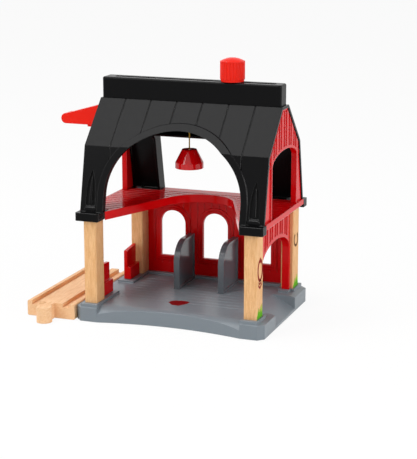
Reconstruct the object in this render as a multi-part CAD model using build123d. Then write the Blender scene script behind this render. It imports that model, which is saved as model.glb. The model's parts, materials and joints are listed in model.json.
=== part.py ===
from build123d import *
import math
import os

# Toy barn with a travelling hoist over a wooden railway track.
# Millimetres, +Z up. X runs along the ridge, the open front faces -Y.
# The origin is on the floor under the middle of the base.

os.makedirs("parts", exist_ok=True)

# ---------------------------------------------------------------- clearances
fit_gap = 0.15          # pieces that plug together and stay put
slide_gap = 0.3         # pieces that move past each other
pin_gap = 0.06          # radial running gap of a pin in its bore
wall = 2.2              # usual wall of the moulded pieces
rim_wall = 2.0

# ---------------------------------------------------------------- base
base_half_x = 75.7
floor_z = 12.0          # level with the top of the track
tier_h = 1.8
tier_z = floor_z + tier_h
rim_z = floor_z - 1.1   # outer edge of the sloping border
border_w = 4.5
rear_corner = 5.0
ramp_rear_y = 23.5
ramp_front_y = -27.0
ramp_edge_z = 2.0
apron_r = 15.0          # rounded front edge of the bay
apron_w = 11.9
floor_groove = 0.35
floor_groove_w = 0.6
floor_pitch = 7.0
stud_r = 4.0
rib_t = 1.6
rib_x = 44.0
rib_y = 22.0
rib_foot_z = 1.0
rib_end_gap = 6.0       # from the top of the ramp
rib_front_gap = 20.0    # from the front edge

# ---------------------------------------------------------------- posts
post_w = 10.1           # across X
post_d = 14.5           # across Y
post_span_y = 105.7     # over the outer faces
post_out_x = base_half_x - 6.45
post_out_y = post_span_y / 2
post_x = post_out_x - post_w / 2
post_y = post_out_y - post_d / 2
post_in_x = post_out_x - post_w
post_in_y = post_out_y - post_d
post_bottom = 4.0
post_edge = 0.7

# plan of the base round the posts
base_rear_y = post_out_y + 5.15
base_front_y = 2.45 - post_out_y
foot_front_y = -4.55 - post_out_y
foot_corner = 4.5
pad_in_x = post_in_x - 1.75
pad_out_x = post_out_x + 1.85
pad_out_y = post_out_y + 3.55
pad_in_y = post_in_y - 1.75
ramp_top_x = post_in_x - 2.15

# ---------------------------------------------------------------- loft
loft_top = floor_z + 73.0
loft_t = 2.4
loft_edge_h = 4.0
lug_w = 8.4
lug_t = 2.0
leg_bottom = loft_top - 1.0
post_top = leg_bottom - lug_t
loft_half_x = post_out_x + 5.25
loft_front_y = 3.85 - post_out_y
loft_notch_y = post_in_y + 0.85
strip_in_x = post_out_x + 1.0
strip_end_y = post_out_y - 5.55
loft_screw_y = post_y - 1.6
lug_out_y = post_y + 3.4
plank_pitch = 6.2
plank_groove_w = 1.7
plank_groove_d = 0.6
cut_r = 28.4
cut_crown_y = cut_r + 7.1
cut_front_half = post_in_x - 7.65
cut_flange_h = 6.4
cut_flange_t = 1.8

# ---------------------------------------------------------------- roof
roof_half_x = post_out_x + 4.05
shoulder_y = 8.0
eave_y = post_out_y - 2.95
knee_y = eave_y - 10.7
eave_z = loft_top - 2.2
knee_z = loft_top + 48.4
ridge_z = knee_z + 32.0
roof_slot = 5.5         # gap between the halves for the hoist neck
roof_slot_x = roof_half_x - 5.3
roof_panels = 7
seam_w = 0.9
seam_d = 0.5
arch_half = post_in_x - 4.65
arch_spring = loft_top + 13.0
arch_rise = 48.5
band_w = 5.0
band_proud = 1.2
front_flange = 4.2
rear_flange = 9.8
rear_open_half = arch_half - 10.5
rear_open_top = knee_z - 2.2
collar_bottom = post_top - 3.8
collar_top = leg_bottom + 0.5
collar_x0 = post_in_x - 3.15
collar_x1 = post_out_x + 5.35
collar_in_y = post_in_y + 2.45
collar_out_y = post_out_y + 3.35
niche_x = (arch_half + band_w + roof_half_x) / 2 - 1.2
niche_w = 7.6
niche_h = 27.0
niche_z = loft_top + 3.8
niche_d = 1.4
sill_h = 2.6            # small bar under a niche
sill_w = niche_w + 1.2
sill_z = niche_z - 2.2
sill_proud = 0.8

# ---------------------------------------------------------------- gables
gable_out_x = roof_half_x - 0.9
gable_t = 2.2
gable_jamb = 3.4
gable_arch_half = eave_y - 19.4
gable_spring = loft_top + 38.8
gable_rise = 9.0
gable_crown = gable_spring + gable_rise
bead_w = 2.0
bead_proud = 0.8
batten_pitch = 6.2
board_w = 4.2           # wide batten
batten_w = 1.4          # narrow batten
batten_proud = 0.8

# ---------------------------------------------------------------- rear wall
wall_y = post_out_y - 2.65
wall_half_x = post_in_x - 0.2
loft_rear_y = wall_y - 0.2
rear_ledge_y = wall_y - 4.2
window_pitch = 36.6
window_w = 21.5
window_h = 38.3
window_sill = tier_z + 14.5
window_crown = window_sill + window_h
band_out = 4.2
band_in = 2.2

# ---------------------------------------------------------------- right side arch
side_arch_x = post_out_x - 2.95
side_arch_t = 5.0
side_arch_half = post_in_y - 3.85
side_arch_spring = floor_z + 36.4
side_arch_rise = 14.0
side_arch_crown = side_arch_spring + side_arch_rise
side_band_w = 2.8
side_pad_y = side_arch_half - 4.1
side_pad_margin = 1.7
side_tab_w = 3.0
side_tab_d = 2.0

# ---------------------------------------------------------------- stalls
stall_x = 18.6
stall_t = 3.2
stall_rim_t = 4.7
stall_rim_w = 2.2
stall_front_y = 10.4
stall_top_z = floor_z + 38.0
stall_corner_r = 17.0

# ---------------------------------------------------------------- gates
gate_t = 2.9
gate_block_t = 5.9
gate_gap = 0.4          # from the hinge end to the post
gate_hinge_y = post_in_y - gate_block_t / 2 - gate_gap
gate_x = 5.2 - post_out_x
gate_len = 17.3         # hinge axis to the free end
gate_block_z = tier_z + 10.2
gate_low_z = tier_z + 23.6
gate_high_z = gate_low_z + 2.4
gate_pin_r = 1.6
gate_pin_len = 8.0
doorway_y = gate_hinge_y - gate_len - 3.7

# ---------------------------------------------------------------- ridge cover
ridge_half_y = shoulder_y - 0.4
ridge_x0 = 0.9 - roof_half_x
ridge_x1 = roof_half_x - 1.5
ridge_top = ridge_z + 16.1
ridge_round = 2.4
knob_slot_w = 6.0
knob_slot_x0 = ridge_x0 + 8.2
knob_slot_x1 = ridge_x1 - 5.6
clip_len = 7.0
clip_t = 1.4
clip_barb = 0.7
clip_x = ridge_x1 - 9.8
clip_mid_x = clip_x / 3

# ---------------------------------------------------------------- track
track_w = 40.0
track_h = floor_z
track_len = 108.0
track_right_x = -0.3 - base_half_x
track_mid_x = track_right_x - track_w / 2
track_front_y = -57.65
groove_gauge = 26.0
groove_w = 6.0
groove_d = 3.0
track_edge = 0.8
joint_r = 6.0
joint_neck = 6.0
joint_reach = 11.5
socket_r = 6.5
socket_neck = 7.2
socket_depth = 12.0

# ---------------------------------------------------------------- arm
arm_half_y = 6.0
arm_wall = 1.6
arm_z0 = gable_crown + 10.2
arm_lug_z = arm_z0 - 1.8
arm_root_z = arm_z0 + 17.2
arm_tip_z = arm_z0 + 8.0
arm_screw_z = arm_z0 + 6.0
arm_screw_y = 7.6
arm_nose_x = track_mid_x - 8.0
arm_tip_x = arm_nose_x - 4.6
arm_slot_w = 3.0
arm_slot_end = track_mid_x - 2.5
arm_flange_half_y = 9.5
arm_flange_t = 2.0
arm_lug_x = -14.6 - gable_out_x
arm_lug_half_y = 4.0

# ---------------------------------------------------------------- hoist
knob_x = 31.3
knob_r = 9.4
knob_h = 17.9
knob_dome = 2.6
knob_ribs = 24
rib_depth = 0.5
knob_bottom = ridge_top + 0.4
knob_top = knob_bottom + knob_h
shaft_r = 2.2
drum_r = 4.5            # to the middle of the string
drum_flange_r = 6.2
drum_h = 5.0
jib_half_y = 3.4
jib_z0 = arm_z0 + arm_wall + 0.6
jib_z1 = jib_z0 + 4.8
drum_z0 = jib_z0 + 0.8
string_x = -3.4
string_r = 0.55
block_left = 8.6
block_right = 5.8
block_half_y = ridge_half_y - 2.3
neck_half_x = 5.0
neck_half_y = roof_slot / 2 - 0.45
case_r = 7.4
case_top = ridge_z - 4.8
eyelet_r = 1.6

# ---------------------------------------------------------------- magnet
bell_h = 14.5
bell_top = jib_z0 - 17.2
bell_bottom = bell_top - bell_h
bell_skirt_z = bell_bottom + 4.3
bell_r = 10.9
bell_top_r = 5.7
bell_wall = 1.6
magnet_r = bell_r - 2.0
magnet_h = 3.4
knot_r = 1.35

# ---------------------------------------------------------------- screws
screw_r = 1.3
screw_head_r = 2.8
screw_head_h = 1.6
screw_gap = 0.3
screw_sink = screw_head_h + 0.2
screw_len = 14.0
arm_screw_len = 4.0
arm_screw_head_r = 1.9

far = 300.0             # reach of a cut that goes right through


def slab_x(shape, x0, x1):
    """Extrude an outline drawn in (Y, Z) between two X planes."""
    plane = Plane(origin=(x0, 0, 0), x_dir=(0, 1, 0), z_dir=(1, 0, 0))
    return extrude(plane * shape, amount=x1 - x0)


def slab_y(shape, y0, y1):
    """Extrude an outline drawn in (X, Z) between two Y planes."""
    plane = Plane(origin=(0, y1, 0), x_dir=(1, 0, 0), z_dir=(0, -1, 0))
    return extrude(plane * shape, amount=y1 - y0)


def slab_z(shape, z0, z1):
    """Extrude an outline drawn in (X, Y) between two heights."""
    return extrude(Plane.XY.offset(z0) * shape, amount=z1 - z0)


def block(x0, x1, y0, y1, z0, z1):
    """Box between two corners."""
    centre = Pos((x0 + x1) / 2, (y0 + y1) / 2, (z0 + z1) / 2)
    return centre * Box(x1 - x0, y1 - y0, z1 - z0)


def rod(x, y, z0, z1, r):
    """Vertical cylinder."""
    return Pos(x, y, (z0 + z1) / 2) * Cylinder(r, z1 - z0)


def poly(points):
    """Filled polygon from its corners."""
    return make_face(Polyline(*points, close=True))


def arch_face(half, low, spring, crown):
    """Doorway outline: straight jambs under a half ellipse."""
    rise = crown - spring
    if abs(half - rise) < 0.01:
        curve = CenterArc((0, spring), half, 0, 180)
    else:
        curve = EllipticalCenterArc((0, spring), half, rise, arc_size=180)
    jambs = Polyline((-half, spring), (-half, low), (half, low), (half, spring))
    return make_face(curve + jambs)


def corners():
    """Signs of the four corners, with the word for each."""
    names = {(-1, -1): "front_left", (1, -1): "front_right", (-1, 1): "rear_left", (1, 1): "rear_right"}
    return names.items()


def save(solid, name):
    """Write one node."""
    export_step(solid, f"parts/{name}.step")


# ================================================================ base plate
def base_outline(inset=0.0):
    """Plan of the base: hollow curve at the front, cut corners."""
    half = base_half_x - inset
    front = foot_front_y + inset
    rear = base_rear_y - inset
    curve = ThreePointArc((-pad_in_x, front), (0, base_front_y + inset), (pad_in_x, front))
    sides = Polyline(
        (pad_in_x, front),
        (half - foot_corner, front),
        (half, front + foot_corner),
        (half, rear - rear_corner),
        (half - rear_corner, rear),
        (rear_corner - half, rear),
        (-half, rear - rear_corner),
        (-half, front + foot_corner),
        (foot_corner - half, front),
        (-pad_in_x, front),
    )
    return make_face(curve + sides)


def border_cut():
    """What is cut away above the sloping border, which stops at the bay."""
    lower, upper = Plane.XY.offset(rim_z), Plane.XY.offset(floor_z)
    crown = loft([lower * base_outline(), upper * base_outline(border_w)], ruled=True)
    bay = block(-pad_in_x, pad_in_x, foot_front_y - 1, base_front_y + 2 * border_w, rim_z - 1, floor_z + 1)
    return slab_z(base_outline(), rim_z, floor_z) - crown - bay


def front_apron(grow=0.0):
    """What is cut away above the rounded front edge of the bay."""
    edge, middle = foot_front_y + apron_w, floor_z - apron_r
    curve = CenterArc((edge, middle), apron_r, 90, 60)
    low_y, low_z = edge - apron_r * math.sin(math.radians(60)), middle + apron_r / 2
    above = floor_z + 5
    walls = Polyline((low_y, low_z), (low_y, above), (edge, above), (edge, floor_z))
    return slab_x(make_face(curve + walls), -pad_in_x - grow, pad_in_x + grow)


def right_ramp(grow=0.0):
    """What is cut away beside the right doorway."""
    section = poly([
        (ramp_top_x, floor_z),
        (base_half_x, ramp_edge_z),
        (base_half_x + 3, ramp_edge_z - 1),
        (base_half_x + 3, floor_z + 5),
        (ramp_top_x, floor_z + 5),
    ])
    return slab_y(section, ramp_front_y - grow, ramp_rear_y + grow)


def pads():
    """Raised plates that the posts, walls and gates stand on."""
    front = [(pad_in_x, -pad_out_y), (pad_out_x, -pad_out_y)]
    left_front = poly([(-x, y) for x, y in front] + [(-pad_out_x, -doorway_y), (-pad_in_x, -doorway_y)])
    arch_x0 = side_arch_x - side_arch_t - side_pad_margin
    arch_x1 = side_arch_x + side_pad_margin
    right_front = poly(front + [
        (pad_out_x, -pad_in_y), (arch_x1, -pad_in_y), (arch_x1, -side_pad_y),
        (arch_x0, -side_pad_y), (arch_x0, -pad_in_y), (pad_in_x, -pad_in_y),
    ])
    rear = poly([
        (-pad_out_x, doorway_y), (-pad_in_x, doorway_y), (-pad_in_x, rear_ledge_y), (pad_in_x, rear_ledge_y),
        (pad_in_x, pad_in_y), (arch_x0, pad_in_y), (arch_x0, side_pad_y), (arch_x1, side_pad_y),
        (arch_x1, pad_in_y), (pad_out_x, pad_in_y), (pad_out_x, pad_out_y), (-pad_out_x, pad_out_y),
    ])
    return [slab_z(face, rim_z - 0.5, tier_z) for face in (left_front, right_front, rear)]


def base_hollow():
    """Inside of the base, a wall away from its outer faces."""
    room = slab_z(base_outline(wall), -1, rim_z - wall)
    drop = Pos(0, 0, -wall)
    return room - drop * front_apron(wall) - drop * right_ramp(wall)


def base_plate():
    solid = slab_z(base_outline(), 0, floor_z) - border_cut() - front_apron() - right_ramp()
    solid -= base_hollow()
    for pad in pads():
        solid += pad
    # ribs under the floor
    under = rim_z - wall + 0.5
    half = rib_t / 2
    for x in (-rib_x, 0, rib_x):
        solid += block(x - half, x + half, base_front_y + rib_front_gap, base_rear_y - 1, rib_foot_z, under)
    for y in (-rib_y, rib_y):
        solid += block(1 - base_half_x, ramp_top_x - rib_end_gap, y - half, y + half, rib_foot_z, under)
    # stud under the middle
    solid += rod(0, 0, 0, under, stud_r)
    # sockets for the posts
    for (sx, sy), _ in corners():
        x, y = sx * post_x, sy * post_y
        sleeve_x = post_w / 2 + rim_wall
        sleeve_y = post_d / 2 + rim_wall
        solid += block(x - sleeve_x, x + sleeve_x, y - sleeve_y, y + sleeve_y, 0, rim_z)
    # bosses and bores for the gate pins
    for side in (-1, 1):
        y = side * gate_hinge_y
        solid += rod(gate_x, y, tier_z - gate_pin_len - 2.5, rim_z, gate_pin_r + 2)
    for (sx, sy), _ in corners():
        x, y = sx * post_x, sy * post_y
        hole_x = post_w / 2 + fit_gap
        hole_y = post_d / 2 + fit_gap
        solid -= block(x - hole_x, x + hole_x, y - hole_y, y + hole_y, post_bottom, tier_z + 1)
        solid -= rod(x, y, -1, post_bottom + 1, screw_r + screw_gap)
        solid -= rod(x, y, -1, screw_sink, screw_head_r + screw_gap)
    for side in (-1, 1):
        y = side * gate_hinge_y
        solid -= rod(gate_x, y, tier_z - gate_pin_len - 0.5, tier_z + 1, gate_pin_r + pin_gap)
    # slots for the tabs of the walls and stalls
    for slot in tab_slots():
        solid -= slot
    # plank lines in the floor
    for k in range(-3, 6):
        y = k * floor_pitch - 3
        half = floor_groove_w / 2
        solid -= block(4 - pad_in_x, ramp_top_x - 4, y - half, y + half, floor_z - floor_groove, floor_z + 0.1)
    return solid


def wall_tabs(gap=0.0):
    """Feet of the rear wall."""
    low = floor_z - wall - 1.4
    return [
        block(x - 4 - gap, x + 4 + gap, wall_y - gap, wall_y + wall + gap, low - gap, tier_z + 0.5)
        for x in (-window_pitch, 0, window_pitch)
    ]


def stall_tabs(x, gap=0.0):
    """Feet of one stall divider."""
    half = stall_t / 2 + gap
    low = floor_z - wall - 1.4
    return [
        block(x - half, x + half, y - 3 - gap, y + 3 + gap, low - gap, floor_z + 0.5)
        for y in (stall_front_y + 7, rear_ledge_y - 7)
    ]


def side_tabs(gap=0.0):
    """Feet of the side arch."""
    low = floor_z - wall - 1.4
    x, y = side_arch_x - side_arch_t / 2, side_arch_half + side_tab_d / 2 + 0.5
    half_x, half_y = side_tab_w / 2 + gap, side_tab_d / 2 + gap
    return [
        block(x - half_x, x + half_x, side * y - half_y, side * y + half_y, low - gap, tier_z + 0.5)
        for side in (-1, 1)
    ]


def tab_slots():
    """Slots in the base for all the feet that plug into it."""
    slots = wall_tabs(fit_gap) + side_tabs(fit_gap)
    for x in (-stall_x, stall_x):
        slots += stall_tabs(x, fit_gap)
    return slots


# ================================================================ posts
def post(sx, sy):
    x, y = sx * post_x, sy * post_y
    stick = block(x - post_w / 2, x + post_w / 2, y - post_d / 2, y + post_d / 2, post_bottom, post_top)
    stick = chamfer(stick.edges(), post_edge)
    stick -= rod(x, y, post_bottom - 1, post_bottom + screw_len, screw_r)
    stick -= rod(x, sy * loft_screw_y, post_top - screw_len, post_top + 1, screw_r)
    return stick


def screw(x, y, z, up):
    """Pan-head screw: z is the seat of its head, up is the way its shank points."""
    shank = Pos(0, 0, (screw_len - 1) / 2) * Cylinder(screw_r - 0.02, screw_len - 1)
    head = Pos(0, 0, -screw_head_h / 2) * Cylinder(screw_head_r, screw_head_h)
    head = chamfer(head.edges().group_by(Axis.Z)[0], 0.5)
    slot = Pos(0, 0, -screw_head_h) * Box(3.6, 0.9, 1.6)
    piece = shank + head - slot
    turn = Rot(0, 0, 0) if up else Rot(180, 0, 0)
    return Pos(x, y, z) * turn * piece


# ================================================================ stalls
def stall_profile(shrink=0.0):
    """Side view of a divider: upright front, quarter round, level top."""
    y0 = stall_front_y + shrink
    y1 = rear_ledge_y - 0.2 - shrink
    top = stall_top_z - shrink
    r = stall_corner_r - shrink
    low = floor_z + shrink
    outline = Line((y0, low), (y0, top - r))
    outline += CenterArc((y0 + r, top - r), r, 90, 90)
    outline += Polyline((y0 + r, top), (y1, top), (y1, low), (y0, low))
    return make_face(outline)


def stall_divider(x):
    sheet = slab_x(stall_profile(), x - stall_t / 2, x + stall_t / 2)
    rim = slab_x(stall_profile() - stall_profile(stall_rim_w), x - stall_rim_t / 2, x + stall_rim_t / 2)
    solid = sheet + rim
    for tab in stall_tabs(x):
        solid += tab
    return solid


# ================================================================ rear wall
def window_face(grow, x):
    half = window_w / 2 + grow
    spring = window_crown - window_w / 2
    face = arch_face(half, window_sill - grow, spring, spring + half)
    return Pos(x, 0) * face


def rear_wall():
    z1 = loft_top - loft_t
    panel = block(-wall_half_x, wall_half_x, wall_y, wall_y + wall, tier_z, z1)
    face_y = wall_y
    # plank joints
    count = int(wall_half_x / plank_pitch)
    for k in range(-count, count + 1):
        x = (k + 0.5) * plank_pitch
        if abs(x) < wall_half_x - 1:
            panel -= block(x - 0.4, x + 0.4, face_y - 0.1, face_y + 0.5, window_sill - 6, z1 - 3)
    for x in (-window_pitch, 0, window_pitch):
        panel += slab_y(window_face(band_out, x), face_y - 0.6, face_y + 1)
        panel += slab_y(window_face(band_in, x), face_y - 1.1, face_y + 1)
    for x in (-window_pitch, 0, window_pitch):
        panel -= slab_y(window_face(0, x), face_y - 3, face_y + wall + 3)
    for tab in wall_tabs():
        panel += tab
    # clear of the collars of the roof
    for side in (-1, 1):
        x0, x1 = sorted((side * (collar_x0 - fit_gap), side * post_x))
        panel -= block(x0, x1, wall_y - 3, wall_y + 5, collar_bottom - fit_gap, loft_top)
    return panel


# ================================================================ right side arch
def batten_places(reach):
    """Middle and width of each batten: wide boards with narrow strips between."""
    count = int(reach / batten_pitch)
    return [(k * batten_pitch, board_w if k % 2 else batten_w) for k in range(-count, count + 1)]


def side_arch():
    x1 = side_arch_x
    x0 = x1 - side_arch_t
    y = post_in_y - 0.2
    z1 = loft_top - loft_t
    panel = block(x0, x1, -y, y, tier_z, z1)
    hole = arch_face(side_arch_half, tier_z - 2, side_arch_spring, side_arch_crown)
    band = arch_face(side_arch_half + side_band_w, tier_z, side_arch_spring, side_arch_crown + side_band_w)
    panel += slab_x(band, x1 - 1, x1 + bead_proud)
    for middle, width in batten_places(y - board_w / 2):
        panel += block(x1 - 1, x1 + batten_proud, middle - width / 2, middle + width / 2, side_arch_spring, z1)
    panel -= slab_x(hole, x0 - 1, x1 + 3)
    for side in (-1, 1):
        panel -= post_lug(1, side, fit_gap)
    for tab in side_tabs():
        panel += tab
    return panel


# ================================================================ gates
def gate_plan(x0, x1, hinge, free):
    """Plan of a gate leaf, round at its hinge end."""
    mid, r = (x0 + x1) / 2, (x1 - x0) / 2
    away = math.copysign(r, hinge - free)
    outline = Polyline((x0, hinge), (x0, free), (x1, free), (x1, hinge))
    outline += ThreePointArc((x1, hinge), (mid, hinge + away), (x0, hinge))
    return make_face(outline)


def gate(side):
    """Low gate leaf; side is -1 at the front and +1 at the rear."""
    hinge = side * gate_hinge_y
    free = side * (gate_hinge_y - gate_len)
    lift = tier_z + slide_gap
    x_out = gate_x - gate_block_t / 2
    leaf = slab_z(gate_plan(x_out, x_out + gate_t, hinge, free), lift, gate_high_z)
    over = hinge + side * gate_block_t
    top = poly([(over, gate_high_z), (free, gate_low_z), (free, gate_high_z + 5), (over, gate_high_z + 5)])
    leaf -= slab_x(top, x_out - 1, x_out + gate_block_t)
    foot = slab_z(gate_plan(x_out, x_out + gate_block_t, hinge, free), lift, gate_block_z)
    pin = rod(gate_x, hinge, tier_z - gate_pin_len, lift + 1, gate_pin_r)
    return leaf + foot + pin


# ================================================================ loft
def cut_outline(grow=0.0):
    """Cut-out of the loft: round crown with straight flaring sides."""
    r = cut_r + grow
    yc = cut_crown_y - cut_r
    front = loft_front_y - 12
    lean = math.atan2(cut_front_half - cut_r, yc - loft_front_y)
    tan_x, tan_y = r * math.cos(lean), yc + r * math.sin(lean)
    reach = tan_y - front
    foot_x = tan_x + reach * math.tan(lean)
    start = 90 - math.degrees(math.pi / 2 - lean)
    curve = CenterArc((0, yc), r, start, 180 - 2 * start)
    sides = Polyline((-tan_x, tan_y), (-foot_x, front), (foot_x, front), (tan_x, tan_y))
    return make_face(curve + sides)


def loft_plan():
    """Plan of the deck, notched round the posts and narrow at the front."""
    rear_x = rear_open_half - 0.5
    front_x = arch_half - 1.0
    right = [
        (front_x, loft_front_y), (front_x, -loft_notch_y), (strip_in_x, -loft_notch_y),
        (strip_in_x, -strip_end_y), (loft_half_x, -strip_end_y), (loft_half_x, strip_end_y),
        (strip_in_x, strip_end_y), (strip_in_x, loft_notch_y), (rear_x, loft_notch_y), (rear_x, loft_rear_y),
    ]
    return poly(right + [(-x, y) for x, y in reversed(right)])


def post_lug(sx, sy, gap=0.0):
    """Lug that reaches from the deck over one post."""
    half = lug_w / 2 + gap
    y0, y1 = sorted((sy * (loft_notch_y - 4), sy * (lug_out_y + gap)))
    return block(sx * post_x - half, sx * post_x + half, y0, y1, post_top - gap, post_top + lug_t)


def loft_floor():
    deck = slab_z(loft_plan(), loft_top - loft_t, loft_top)
    # edge strips along the two ends
    low = loft_top - loft_edge_h
    for side in (-1, 1):
        x0, x1 = sorted((side * loft_half_x, side * strip_in_x))
        deck += block(x0, x1, -strip_end_y, strip_end_y, low, loft_top)
    # plank joints run along the ridge
    count = int(loft_rear_y / plank_pitch)
    for k in range(-count, count + 1):
        y, half = k * plank_pitch, plank_groove_w / 2
        if abs(y) < loft_notch_y:
            deck -= block(2 - loft_half_x, loft_half_x - 2, y - half, y + half,
                          loft_top - plank_groove_d, loft_top + 0.1)
    # turned-down edge of the cut-out
    border = cut_outline(cut_flange_t) - cut_outline()
    flange = slab_z(border, loft_top - cut_flange_h, loft_top)
    half = arch_half - 1.0
    flange &= block(-half, half, loft_front_y, loft_rear_y, 0, far)
    deck = deck + flange - slab_z(cut_outline(), 0, far)
    for (sx, sy), _ in corners():
        deck += post_lug(sx, sy)
    for (sx, sy), _ in corners():
        deck -= rod(sx * post_x, sy * loft_screw_y, 0, far, screw_r + screw_gap)
    return deck


# ================================================================ roof
def offset_line(points, d):
    """Move a polyline sideways by d, keeping its corners mitred."""
    moved = []
    for a, b in zip(points, points[1:]):
        length = math.dist(a, b)
        nx, nz = (b[1] - a[1]) / length, (a[0] - b[0]) / length
        moved.append(((a[0] + nx * d, a[1] + nz * d), (b[0] + nx * d, b[1] + nz * d)))
    result = [moved[0][0]]
    for (p, q), (r, s) in zip(moved, moved[1:]):
        ux, uz = q[0] - p[0], q[1] - p[1]
        vx, vz = s[0] - r[0], s[1] - r[1]
        t = ((r[0] - p[0]) * vz - (r[1] - p[1]) * vx) / (ux * vz - uz * vx)
        result.append((p[0] + t * ux, p[1] + t * uz))
    result.append(moved[-1][1])
    return result


def roof_line(depth=0.0):
    """Half section of the roof, from ridge to eave, depth inside its outer skin."""
    skin = [(0, ridge_z), (shoulder_y, ridge_z), (knee_y, knee_z), (eave_y, eave_z)]
    return offset_line(skin, depth)


def roof_y(z, depth=0.0):
    """Distance of the skin from the middle at a height on the lower slope."""
    line = roof_line(depth)
    (y0, z0), (y1, z1) = line[2], line[3]
    return y0 + (y1 - y0) * (z - z0) / (z1 - z0)


def roof_ring(side, outer, inner):
    """Section of the layer between two depths, on one side of the ridge."""
    points = roof_line(outer) + roof_line(inner)[::-1]
    return poly([(side * y, z) for y, z in points])


def niche(x, side):
    """Lancet recess in a leg, with a wedge left standing in it."""
    half = niche_w / 2
    outline = Polyline((x - half, niche_z + niche_h * 0.35), (x - half, niche_z), (x + half, niche_z),
                       (x + half, niche_z + niche_h * 0.35))
    outline += ThreePointArc((x + half, niche_z + niche_h * 0.35), (x + half * 0.62, niche_z + niche_h * 0.72),
                             (x, niche_z + niche_h))
    outline += ThreePointArc((x, niche_z + niche_h), (x - half * 0.62, niche_z + niche_h * 0.72),
                             (x - half, niche_z + niche_h * 0.35))
    y0, y1 = sorted((side * knee_y * 0.8, side * (eave_y + 6)))
    layer = slab_x(roof_ring(side, -1, niche_d), x - niche_w, x + niche_w)
    recess = layer & slab_y(make_face(outline), y0, y1)
    wedge = poly([(x - 1.3, niche_z + 1.6), (x + 1.3, niche_z + 1.6), (x + 0.3, niche_z + niche_h * 0.8),
                  (x - 0.3, niche_z + niche_h * 0.8)])
    return recess - slab_y(wedge, y0, y1)


def niche_sill(x, side):
    """Small raised bar with round ends under a niche."""
    bar = Pos(x, sill_z) * SlotOverall(sill_w, sill_h)
    y0, y1 = sorted((side * knee_y, side * (eave_y + 6)))
    return slab_x(roof_ring(side, -sill_proud, 0.2), x - sill_w, x + sill_w) & slab_y(bar, y0, y1)


def collar(sx, side):
    """Band at the foot of a leg: it caps the post and is open towards the loft."""
    x0, x1 = sorted((sx * collar_x0, sx * collar_x1))
    y0, y1 = sorted((side * collar_in_y, side * collar_out_y))
    ring = block(x0, x1, y0, y1, collar_bottom, collar_top)
    ring = chamfer(ring.edges().filter_by(Axis.Z), 0.8)
    px, py = sx * post_x, side * post_y
    hole_x = post_w / 2 + fit_gap
    hole_y = post_d / 2 + fit_gap
    ring -= block(px - hole_x, px + hole_x, py - hole_y, py + hole_y, 0, post_top + fit_gap)
    ring -= post_lug(sx, side, fit_gap)
    # inside the leg it ends under the shelf
    skin_y = side * (roof_y(leg_bottom) - wall)
    y0, y1 = sorted((0, skin_y))
    ring -= block(-far, far, y0, y1, leg_bottom - 0.1, far)
    return ring


def leg_shelf(sx, side, half_in):
    """Floor of a leg, which stands on the lug of the loft and on the collar."""
    x0, x1 = sorted((sx * half_in, sx * roof_half_x))
    y0, y1 = sorted((side * collar_in_y, side * (roof_y(leg_bottom) - 0.3)))
    return block(x0, x1, y0, y1, leg_bottom - 0.4, loft_top) - post_lug(sx, side)


def strip_room(sx, side):
    """Room in a foot for the end of the loft's edge strip."""
    x0, x1 = sorted((sx * (strip_in_x - fit_gap), sx * far))
    y0, y1 = sorted((0, side * (strip_end_y + fit_gap)))
    return block(x0, x1, y0, y1, 0, loft_top)


def roof_half(side):
    front = side < 0
    flange = front_flange if front else rear_flange
    shell = slab_x(roof_ring(side, 0, wall), -roof_half_x, roof_half_x)
    # seams between the roofing panels
    panel = 2 * roof_half_x / roof_panels
    for k in range(1, roof_panels):
        x = -roof_half_x + k * panel
        shell -= slab_x(roof_ring(side, -1, seam_d), x - seam_w / 2, x + seam_w / 2)
    if front:
        hole = arch_face(arch_half, 0, arch_spring, arch_spring + arch_rise)
        rim = arch_face(arch_half + band_w, 0, arch_spring, arch_spring + arch_rise + band_w)
        lip = arch_face(arch_half + 1.8, 0, arch_spring, arch_spring + arch_rise + 1.8)
    else:
        hole = poly([(-rear_open_half, 0), (rear_open_half, 0),
                     (rear_open_half, rear_open_top), (-rear_open_half, rear_open_top)])
        rim = poly([(-rear_open_half - 3, 0), (rear_open_half + 3, 0),
                    (rear_open_half + 3, rear_open_top + 1), (-rear_open_half - 3, rear_open_top + 1)])
        lip = poly([(-rear_open_half - 1.8, 0), (rear_open_half + 1.8, 0),
                    (rear_open_half + 1.8, rear_open_top + 1.8), (-rear_open_half - 1.8, rear_open_top + 1.8)])
    y0, y1 = sorted((side * 1, side * (eave_y + 6)))
    raised = slab_x(roof_ring(side, -band_proud, 0.2), -roof_half_x, roof_half_x)
    shell += raised & slab_y(rim, y0, y1)
    inside = slab_x(roof_ring(side, 0.5, flange), -roof_half_x, roof_half_x)
    shell += inside & slab_y(lip, y0, y1)
    shell -= slab_y(hole, -far, far)
    # ribs that hold the gables
    for sx in (-1, 1):
        x0, x1 = sorted((sx * (gable_out_x - gable_t - 0.1), sx * (gable_out_x - gable_t - 1.3)))
        shell += slab_x(roof_ring(side, wall - 0.2, wall + 1.4), x0, x1)
    # trim the ridge and the feet
    shell -= block(-roof_slot_x, roof_slot_x, -roof_slot / 2, roof_slot / 2, knee_z, far)
    shell -= block(-far, far, -far, far, 0, leg_bottom)
    half_in = arch_half if front else rear_open_half
    for sx in (-1, 1):
        shell += leg_shelf(sx, side, half_in)
        shell += collar(sx, side)
        shell -= strip_room(sx, side)
        shell -= niche(sx * niche_x, side)
        shell += niche_sill(sx * niche_x, side)
        head_room = post_top + lug_t + screw_head_h + screw_gap
        shell -= rod(sx * post_x, side * loft_screw_y, leg_bottom - 3, head_room, screw_head_r + screw_gap)
    # windows for the clips of the ridge cover
    for x in clip_places():
        y_mid = side * clip_y()
        shell -= block(x - clip_len / 2 - 0.2, x + clip_len / 2 + 0.2, y_mid - clip_t / 2 - 0.2,
                       y_mid + clip_t / 2 + 0.2, ridge_z - wall - 1, ridge_z + 1)
    return shell


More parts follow.
